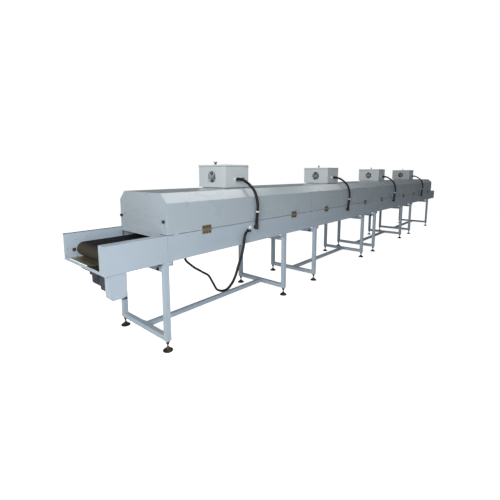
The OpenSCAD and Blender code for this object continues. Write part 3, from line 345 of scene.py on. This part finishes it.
# Camera, from points and edges of the photo; focal, centreV and picture are in pixels
camera = dict(place=(-5.2743, -2.2595, 1.3133), yaw=0.7166, pitch=-0.1297, focal=320.711, centreV=215.70,
              picture=500, sensor=36, clip=(0.05, 100))
camData = bpy.data.cameras.new("camera")
cam = bpy.data.objects.new("camera", camData)
bpy.context.scene.collection.objects.link(cam)
bpy.context.scene.camera = cam
cam.location = camera["place"]
cam.rotation_euler = (math.pi / 2 + camera["pitch"], 0, camera["yaw"] - math.pi / 2)
camData.sensor_width = camera["sensor"]
camData.lens = camera["focal"] / camera["picture"] * camera["sensor"]
camData.shift_y = (camera["centreV"] - camera["picture"] / 2) / camera["picture"]
camData.clip_start, camData.clip_end = camera["clip"]

# Cords; routes in millimetres from the module's near end
conduit = dict(radius=0.013, sides=24, perSpan=8, sleeve=0.0158, topSleeve=0.055, lowStep=0.0015, bandZ=0.969,
               bandRise=0.0008, bendFrom=(-0.360, 0.838), bendTo=(-0.360, 0.905),
               route=[(944, -140, 1262), (945, -175, 1261), (946, -215, 1252), (948, -258, 1231), (951, -300, 1200),
                      (954, -337, 1160), (957, -361, 1108), (959, -373, 1055), (960, -376, 1005), (961, -371, 955),
                      (963, -364, 905), (965, -360, 870), (965, -360, 838)])
for i in range(line["modules"]):
    path = smoothPath(np.array(conduit["route"], float) / 1000 + [moduleX(i), 0, 0], conduit["perSpan"])
    reach = alongPath(path)
    length = float(reach[-1])
    tube = makePiece(f"conduitTube{i + 1}", [sweep(path, conduit["radius"], conduit["sides"])], "cordRubber", None)
    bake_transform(tube)
    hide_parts(f"conduit_{i + 1}")
    near = np.argmin(np.abs(path[:, 2] - conduit["bandZ"]))  # the band's place, where the lower sleeve begins
    band = sweep(path[near - 1:near + 2], conduit["sleeve"] + conduit["bandRise"], conduit["sides"])
    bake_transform(makePiece(f"conduitBand{i + 1}", [band], "whitePlastic", None))
    sleeves = [sweep(path[reach < conduit["topSleeve"]], conduit["sleeve"], conduit["sides"]),
               sweep(path[near:-1], conduit["sleeve"] - conduit["lowStep"], conduit["sides"])]
    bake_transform(makePiece(f"conduitSleeves{i + 1}", sleeves, "cordRubber", None))
print("conduit length", length)

# The supply cable; its sleeve tapers over its last points down to a least share of its growth
supply = dict(radius=0.009, perSpan=6, sides=20, sleeveFrom=0.02, sleeveTo=0.62, sleeveGrow=0.0028, taperPoints=30,
              leastShare=0.12,
              route=[(840, -360, 798), (820, -360, 790), (803, -360, 768), (790, -360, 728), (783, -360, 673),
                     (770, -360, 632), (757, -360, 593), (732, -360, 542), (706, -360, 492), (692, -358, 452),
                     (676, -355, 414), (648, -352, 370), (612, -350, 338), (585, -347, 321), (560, -345, 316),
                     (535, -344, 317), (510, -340, 323), (485, -338, 336), (464, -335, 354), (430, -325, 421),
                     (398, -315, 480), (349, -305, 516), (310, -300, 544), (272, -295, 570), (240, -289, 599),
                     (212, -284, 625), (196, -281, 645), (190, -280, 664)])
path = smoothPath(np.array(supply["route"], float) / 1000 + [moduleX(0), 0, 0], supply["perSpan"])
reach = alongPath(path)
length = float(reach[-1])
cable = makePiece("supplyCableTube", [sweep(path, supply["radius"], supply["sides"])], "cordRubber", "frame")
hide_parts("supply_cable")
thick = path[(reach > supply["sleeveFrom"]) & (reach < supply["sleeveTo"] * length)]
left = (len(thick) - np.arange(len(thick))) / supply["taperPoints"]
grow = supply["radius"] + supply["sleeveGrow"] * np.clip(left, supply["leastShare"], 1)
makePiece("supplySleeve", [sweep(thick, grow, supply["sides"])], "cordRubber", "frame")
print("supply cable length", length)

# Bolts, screws and small fittings
hinge = dict(inset=0.370, faceY=-0.3375, screwSize=0.0150, screwXs=(-0.030, 0.0, 0.030), hoodZ=0.897, bedZ=0.851)
bedScrews = []
for i in range(line["modules"]):
    hoodScrews = []
    for cx in (moduleX(i) + hinge["inset"], moduleX(i) + line["moduleLen"] - hinge["inset"]):
        for dx in hinge["screwXs"]:
            hoodScrews += screwHead((cx + dx, hinge["faceY"], hinge["hoodZ"]), (0, -1, 0), hinge["screwSize"])
            bedScrews += screwHead((cx + dx, hinge["faceY"], hinge["bedZ"]), (0, -1, 0), hinge["screwSize"])
    makePiece(f"hoodHingeScrews{i + 1}", hoodScrews, "darkSteel", f"hood_body_{i + 1}")
makePiece("bedHingeScrews", bedScrews, "darkSteel", "frame")

rail = dict(boltSize=0.0095, places=[(-4.2615, 0.832), (-4.3435, 0.824), (-4.4095, 0.762), (-4.3425, 0.690)],
            shadeStripX=(line["startX"], -3.9632), shadeStripY=(line["railY"] - 0.0004, line["sideY"]), shadeStripZ=(0.8712, 0.8735))
parts = []
for x, z in rail["places"]:
    parts += boltHead((x, line["railY"], z), (0, -1, 0), rail["boltSize"])
makePiece("railBolts", parts, "framePaint", "frame", smooth=False)
# A dark strip along the rail's top edge is painted shade, for the top lip seen dark at a grazing angle
strip = slab(rail["shadeStripX"], rail["shadeStripY"], rail["shadeStripZ"], "x")
makePiece("railEdgeShade", [strip], "darkSteel", "frame", smooth=False)

# The belt-tension slot: a dark block behind its open end is painted shade, so the open end shows dark, and a slide
# covers the rest
tension = dict(slotX=(-4.3645, -4.2645), slotZ=(0.7295, 0.7555), openLen=0.026, margin=0.004, slideOver=0.006,
               slideY=(0.3164, 0.3185), shadeBlockLen=0.040, shadeBlockY=(0.3197, 0.3240))
x0, x1 = tension["slotX"]
z = (tension["slotZ"][0] - tension["margin"], tension["slotZ"][1] + tension["margin"])
slide = slab((x0 + tension["openLen"], x1 + tension["slideOver"]), tension["slideY"], z, "y")
makePiece("slotSlide", [slide], "framePaint", "frame", smooth=False)
shadeBlock = slab((x0 - tension["margin"], x0 + tension["shadeBlockLen"]), tension["shadeBlockY"], z, "y")
makePiece("slotShadeBlock", [shadeBlock], "darkSteel", "frame", smooth=False)

# Motor: a ribbed body, r(a) = R (|cos a|^n + |sin a|^n)^(-1/n) + h cos(k a), between two plain end bells.
# A ring is its share of the length, its share of R, and 1 where it is ribbed.
motor = dict(x=-4.3425, z=0.615, y0=-0.201, y1=-0.051, half=0.0465, power=5.0, ribs=36, ribRise=0.0014, sides=216,
             rings=[(0.0, 0.0, 0), (0.0, 0.90, 0), (0.03, 0.97, 0), (0.18, 0.97, 0), (0.20, 0.95, 1),
                    (0.70, 0.95, 1), (0.72, 0.97, 0), (0.95, 0.97, 0), (1.0, 0.88, 0), (1.0, 0.0, 0)],
             terminal=((-4.4140, -4.3640), (-0.2000, -0.0900), (0.6500, 0.6755)))
a = np.arange(motor["sides"]) * 2 * np.pi / motor["sides"]
square = (np.abs(np.cos(a)) ** motor["power"] + np.abs(np.sin(a)) ** motor["power"]) ** (-1 / motor["power"])
rings = []
for share, scale, ribbed in motor["rings"]:
    radius = motor["half"] * scale * square + ribbed * motor["ribRise"] * np.cos(motor["ribs"] * a)
    y = motor["y0"] + share * (motor["y1"] - motor["y0"])
    rings.append(np.stack([motor["x"] + radius * np.cos(a), np.full_like(a, y), motor["z"] + radius * np.sin(a)], 1))
body = (np.concatenate(rings), gridFaces(len(rings), motor["sides"]))
ribbedMotor = makePiece("ribbedMotor", [body, slab(*motor["terminal"], "z")], "motorPaint", "frame")
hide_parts("gear_motor")

# Seam between the housing and the guard, and the guard's small screws
guard = dict(seam=((-4.4010, -4.2840), (-0.3353, -0.3340), (0.6782, 0.6796)), screwXs=(-4.392, -4.293),
             screwZs=(0.664, 0.548), screwSize=0.007)
makePiece("guardSeam", [slab(*guard["seam"], "y")], "blackPlastic", "frame", smooth=False)
parts = []
for x in guard["screwXs"]:
    for z in guard["screwZs"]:
        parts += screwHead((x, -line["sideY"], z), (0, -1, 0), guard["screwSize"])
makePiece("guardCoverScrews", parts, "boltZinc", "frame")

# Painted shade: a dark sheet beside the motor plate and a black sheet on the plate stand in for shade there; the first
# piece also holds the dark strip under the guard's inner end
shadeSheets = dict(base=((-4.4180, -4.2900), (-0.2605, 0.0300), (0.6700, 0.6740)),
            strip=((-4.3150, -4.2845), (-0.3350, -0.3000), (0.5040, 0.5138)))
makePiece("shadeBesidePlate", [slab(*shadeSheets["base"], "z"), slab(*shadeSheets["strip"], "z")], "motorPaint", "frame", smooth=False)
# The black sheet on the plate is painted shade over the plate's dark end
mat = dict(outline=[(-4.4040, 0.0050), (-4.4040, -0.2608), (-4.2980, -0.2608), (-4.3300, -0.0900)],
           z=(0.6832, 0.6842))
makePiece("shadeOnPlate", [extruded(mat["outline"], "z", *mat["z"])], "blackPlastic", "frame", smooth=False)

stands = dict(firstX=0.125, endShift=0.140, spacing=1.490, barOut=0.020, barY=0.251, barZ=0.621, barSize=0.016,
              tabIn=0.040, tabZ=0.664, tabSize=0.011, flangeIn=0.025, flangeY=0.033, flangeZ=0.100, flangeSize=0.011)


def standXs(i):
    # the two frames of module i: first + shift, then one spacing further; the end modules' stands shift outwards
    shift = -stands["endShift"] if i == 0 else (stands["endShift"] if i == line["modules"] - 1 else 0)
    first = moduleX(i) + stands["firstX"] + shift
    return first, first + stands["spacing"]


darkParts, parts = [], []
for i in range(line["modules"]):
    for x, out in zip(standXs(i), (-1, 1)):
        for side in (-1, 1):
            darkParts += boltHead((x + out * stands["barOut"], side * stands["barY"], stands["barZ"]), (out, 0, 0),
                                  stands["barSize"])
            parts += boltHead((x - out * stands["tabIn"], side * line["sideY"], stands["tabZ"]), (0, side, 0),
                              stands["tabSize"])
            parts += boltHead((x - out * stands["flangeIn"], side * stands["flangeY"], stands["flangeZ"]),
                              (-out, 0, 0), stands["flangeSize"])
makePiece("barBolts", darkParts, "darkSteel", "frame", smooth=False)
makePiece("standBolts", parts, "boltZinc", "frame", smooth=False)

# Glands: white rings on the boxes, hexagon nuts at both ends of each conduit; profiles are radius and height
gland = dict(boxX=0.944, boxZ=1.262, bedX=0.965, bedY=-0.360, bedTopZ=0.838, ringSides=32, nutSides=6,
             ring=[(0.0150, 0.0075), (0.0205, 0.0075), (0.0217, 0.004), (0.0217, 0.0), (0.0150, 0.0)],
             boxNut=[(0.0128, 0.0305), (0.0165, 0.0305), (0.0185, 0.028), (0.0185, 0.018), (0.0150, 0.018)],
             bedNut=[(0.0128, 0.004), (0.0158, 0.004), (0.0172, 0.001), (0.0172, -0.012), (0.0140, -0.012)])
bedNuts = []
for i in range(line["modules"]):
    at = (moduleX(i) + gland["boxX"], line["boxY0"], gland["boxZ"])
    ring = turned(gland["ring"], at, (0, -1, 0), gland["ringSides"])
    makePiece(f"boxGlandRing{i + 1}", [ring], "whitePlastic", f"hood_body_{i + 1}")
    nut = turned(gland["boxNut"], at, (0, -1, 0), gland["nutSides"])
    makePiece(f"boxGlandNut{i + 1}", [nut], "blackPlastic", f"hood_body_{i + 1}", smooth=False)
    at = (moduleX(i) + gland["bedX"], gland["bedY"], gland["bedTopZ"])
    bedNuts.append(turned(gland["bedNut"], at, (0, 0, 1), gland["nutSides"]))
makePiece("bedGlandNuts", bedNuts, "blackPlastic", "frame", smooth=False)

# The round clamp: a dished face, then a rim with r = R (rim + bulge sin t), z = D cos t
clamp = dict(place=(0.897, -0.335, 0.821), radius=0.0165, depth=0.012, rim=0.55, bulge=0.45, dishShare=0.4,
             dishDepth=0.6, steps=7, sides=28)
at = (moduleX(0) + clamp["place"][0], clamp["place"][1], clamp["place"][2])
t = np.linspace(0, np.pi / 2, clamp["steps"])
dome = np.stack([clamp["radius"] * (clamp["rim"] + clamp["bulge"] * np.sin(t)), clamp["depth"] * np.cos(t)], 1)
dishZ = clamp["depth"] * clamp["dishDepth"]
profile = np.vstack([[0, dishZ], [clamp["radius"] * clamp["dishShare"], dishZ], dome])
makePiece("cableClamp", [turned(profile, at, (0, -1, 0), clamp["sides"])], "whitePlastic", "frame")

# A black cap beside each conduit's gland, and the cable tie round the first length of the supply cable
cap = dict(x=1.050, z=1.269, profile=[(0.0, 0.016), (0.00686, 0.016), (0.0098, 0.012), (0.0098, 0.0)], sides=24)
for i in range(line["modules"]):
    at = (moduleX(i) + cap["x"], line["boxY0"], cap["z"])
    makePiece(f"boxCap{i + 1}", [turned(cap["profile"], at, (0, -1, 0), cap["sides"])], "blackPlastic",
              f"hood_body_{i + 1}")
tie = dict(at=(0.7915, -0.360, 0.733), along=(0.010, 0.0, 0.042), bore=0.0095, radius=0.0128, width=0.004, sides=24,
           tail=[(0.004, -0.0120, 0.0), (0.010, -0.0128, -0.012), (0.013, -0.0120, -0.034)], tailR=0.0016, tailSides=8)
at = np.array(tie["at"]) + [moduleX(0), 0, 0]
half = tie["width"] / 2
band = turned([(tie["bore"], -half), (tie["radius"], -half), (tie["radius"], half), (tie["bore"], half)], at,
              tie["along"], tie["sides"])
makePiece("cableTie", [band, sweep(at + tie["tail"], tie["tailR"], tie["tailSides"])], "blackPlastic", "frame")

# A black wing knob over each lid's screw: a turned foot and two blades drawn across it
wing = dict(x=0.824, y=0.042, z=1.4002, sides=24, thick=0.0095, hub=0.0125,
            foot=[(0.0, 0.0150), (0.0072, 0.0150), (0.0090, 0.0105), (0.0090, 0.0)],
            blades=[(-0.008, 0.010), (0.008, 0.010), (0.0212, 0.0285), (0.0106, 0.0285), (0.0, 0.0150),
                    (-0.0106, 0.0285), (-0.0212, 0.0285)])
for i in range(line["modules"]):
    x, y, z = moduleX(i) + wing["x"], wing["y"], wing["z"]
    foot = turned(wing["foot"], (x, y, z), (0, 0, 1), wing["sides"])
    outline = [(x + dx, z + dz) for dx, dz in wing["blades"]]
    half = wing["thick"] / 2
    blades = extruded(outline, "y", y - half, y + half, (x, z + wing["hub"]))
    makePiece(f"wingKnob{i + 1}", [foot, blades], "blackPlastic", f"hood_body_{i + 1}", smooth=False)

# Boxes: a dark seal under each lid, and screws in the fan guard
box = dict(sealZ=(1.3815, 1.3845), sealOut=0.0012, guardR=0.070, fanZ=1.284975, fanY=0.080, screwSize=0.009,
           screwAngles=(45, 135, 225, 315))
for i in range(line["modules"]):
    body = f"hood_body_{i + 1}"
    x0 = moduleX(i) + line["boxStart"] - box["sealOut"]
    x1 = moduleX(i) + line["boxStart"] + line["boxLen"] + box["sealOut"]
    y0, y1 = line["boxY0"] - box["sealOut"], line["boxY1"] + box["sealOut"]
    seal = slab((x0, x1), (y0, y1), box["sealZ"], "z")
    makePiece(f"lidSeal{i + 1}", [seal], "blackPlastic", body, smooth=False)
    parts = []
    for a in np.radians(box["screwAngles"]):
        parts += screwHead((moduleX(i) + line["boxStart"], box["fanY"] + box["guardR"] * np.cos(a),
                            box["fanZ"] + box["guardR"] * np.sin(a)), (-1, 0, 0), box["screwSize"])
    makePiece(f"guardScrews{i + 1}", parts, "boltZinc", body)

# Quartz tubes and their ceramic ends under each reflector
lamp = dict(count=8, inset=0.060, z=0.979, tubeR=0.0063, tubeY=0.3070, capR=0.0094, capY=0.3310, sides=24)
for i in range(line["modules"]):
    tubes, caps = [], []
    run = line["moduleLen"] - 2 * lamp["inset"]
    for k in range(lamp["count"]):
        at = (moduleX(i) + lamp["inset"] + (k + 0.5) * run / lamp["count"], 0.0, lamp["z"])
        tubes.append(turned([(0, -lamp["tubeY"]), (lamp["tubeR"], -lamp["tubeY"]), (lamp["tubeR"], lamp["tubeY"])],
                            at, (0, 1, 0), lamp["sides"]))
        for side in (-1, 1):
            caps.append(turned([(lamp["tubeR"], side * lamp["tubeY"]), (lamp["capR"], side * lamp["tubeY"]),
                                (lamp["capR"], side * lamp["capY"]), (lamp["tubeR"], side * lamp["capY"])],
                               at, (0, 1, 0), lamp["sides"]))
    makePiece(f"quartzTubes{i + 1}", tubes, "quartz", f"hood_body_{i + 1}")
    makePiece(f"lampEnds{i + 1}", caps, "whitePlastic", f"hood_body_{i + 1}")
print("fittings done")

# Light, floor and backdrop; the sky shows white to the camera and lights the part with its own colour
sky = dict(colour=(0.93, 0.96, 1.0, 1), strength=0.14, shown=(1, 1, 1, 1), shownStrength=1.0)
world = bpy.data.worlds.new("world")
bpy.context.scene.world = world
world.use_nodes = True
nodes, links = world.node_tree.nodes, world.node_tree.links
background = nodes["Background"]
background.inputs["Color"].default_value = sky["colour"]
background.inputs["Strength"].default_value = sky["strength"]
white = nodes.new("ShaderNodeBackground")
white.inputs["Color"].default_value = sky["shown"]
white.inputs["Strength"].default_value = sky["shownStrength"]
rayPath = nodes.new("ShaderNodeLightPath")
mixer = nodes.new("ShaderNodeMixShader")
links.new(rayPath.outputs["Is Camera Ray"], mixer.inputs["Fac"])
links.new(background.outputs["Background"], mixer.inputs[1])
links.new(white.outputs["Background"], mixer.inputs[2])
links.new(mixer.outputs["Shader"], nodes["World Output"].inputs["Surface"])


def areaLight(name, place, target, size, power, colour):
    # the light faces along -w, with w = place - target
    data = bpy.data.lights.new(name, "AREA")
    data.shape = "RECTANGLE"
    data.size, data.size_y = size
    data.energy = power
    data.color = colour
    obj = bpy.data.objects.new(name, data)
    bpy.context.scene.collection.objects.link(obj)
    obj.location = place
    u, v, w = axisFrame(np.array(place, float) - np.array(target, float))
    obj.rotation_euler = Matrix((u, v, w)).transposed().to_euler()


for light in (
    dict(name="keyLight", place=(-7.6, -2.2, 2.7), target=(-4.0, 0, 0.95), size=(1.8, 1.6), power=178,
         colour=(1.0, 0.99, 0.97)),
    dict(name="frontFill", place=(-4.6, -4.2, 1.7), target=(-3.7, 0, 0.8), size=(2.4, 1.6), power=44,
         colour=(0.93, 0.97, 1.0)),
    dict(name="topSoft", place=(-3.0, 0.4, 4.4), target=(-2.8, 0, 1.0), size=(5.0, 1.2), power=28,
         colour=(1, 0.93, 0.80)),
    dict(name="shoulderGlow", place=(-0.9, -0.1, 4.2), target=(-2.6, -0.3, 1.1), size=(0.9, 2.6), power=30,
         colour=(1, 0.99, 0.96)),
    dict(name="farGlow", place=(3.8, -0.2, 4.2), target=(3.0, -0.2, 0.9), size=(2.5, 1.2), power=20,
         colour=(1, 0.98, 0.90)),
):
    areaLight(**light)

# The floor glows for the camera only, so that it shows nearly white
ground = dict(half=60, grain=5, grainDetail=4, dark=(0.80, 0.80, 0.80, 1), light=(0.84, 0.84, 0.84, 1), rough=0.9,
              shine=0.1, glow=0.90)
floorMat, nodes, links, shader = newMaterial("floorLook")
grain = addNoise(nodes, links, nodes.new("ShaderNodeTexCoord").outputs["Object"], ground["grain"],
                 ground["grainDetail"])
tone = nodes.new("ShaderNodeMix")
tone.data_type = "RGBA"
tone.inputs["A"].default_value = ground["dark"]
tone.inputs["B"].default_value = ground["light"]
links.new(grain.outputs["Fac"], tone.inputs["Factor"])
links.new(tone.outputs["Result"], shader.inputs["Base Color"])
shader.inputs["Roughness"].default_value = ground["rough"]
shader.inputs["Specular IOR Level"].default_value = ground["shine"]
rayPath = nodes.new("ShaderNodeLightPath")
glow = nodes.new("ShaderNodeEmission")
glow.inputs["Color"].default_value = (1, 1, 1, 1)
lift = nodes.new("ShaderNodeMath")
lift.operation = "MULTIPLY"
lift.inputs[1].default_value = ground["glow"]
links.new(rayPath.outputs["Is Camera Ray"], lift.inputs[0])
links.new(lift.outputs["Value"], glow.inputs["Strength"])
both = nodes.new("ShaderNodeAddShader")
links.new(shader.outputs["BSDF"], both.inputs[0])
links.new(glow.outputs["Emission"], both.inputs[1])
links.new(both.outputs["Shader"], nodes["Material Output"].inputs["Surface"])
half = ground["half"]
mesh = bpy.data.meshes.new("floor")
mesh.from_pydata([(-half, -half, 0), (half, -half, 0), (half, half, 0), (-half, half, 0)], [], [(0, 1, 2, 3)])
mesh.materials.append(floorMat)
floor = bpy.data.objects.new("floor", mesh)
bpy.context.scene.collection.objects.link(floor)

bpy.context.scene.view_settings.view_transform = "Standard"
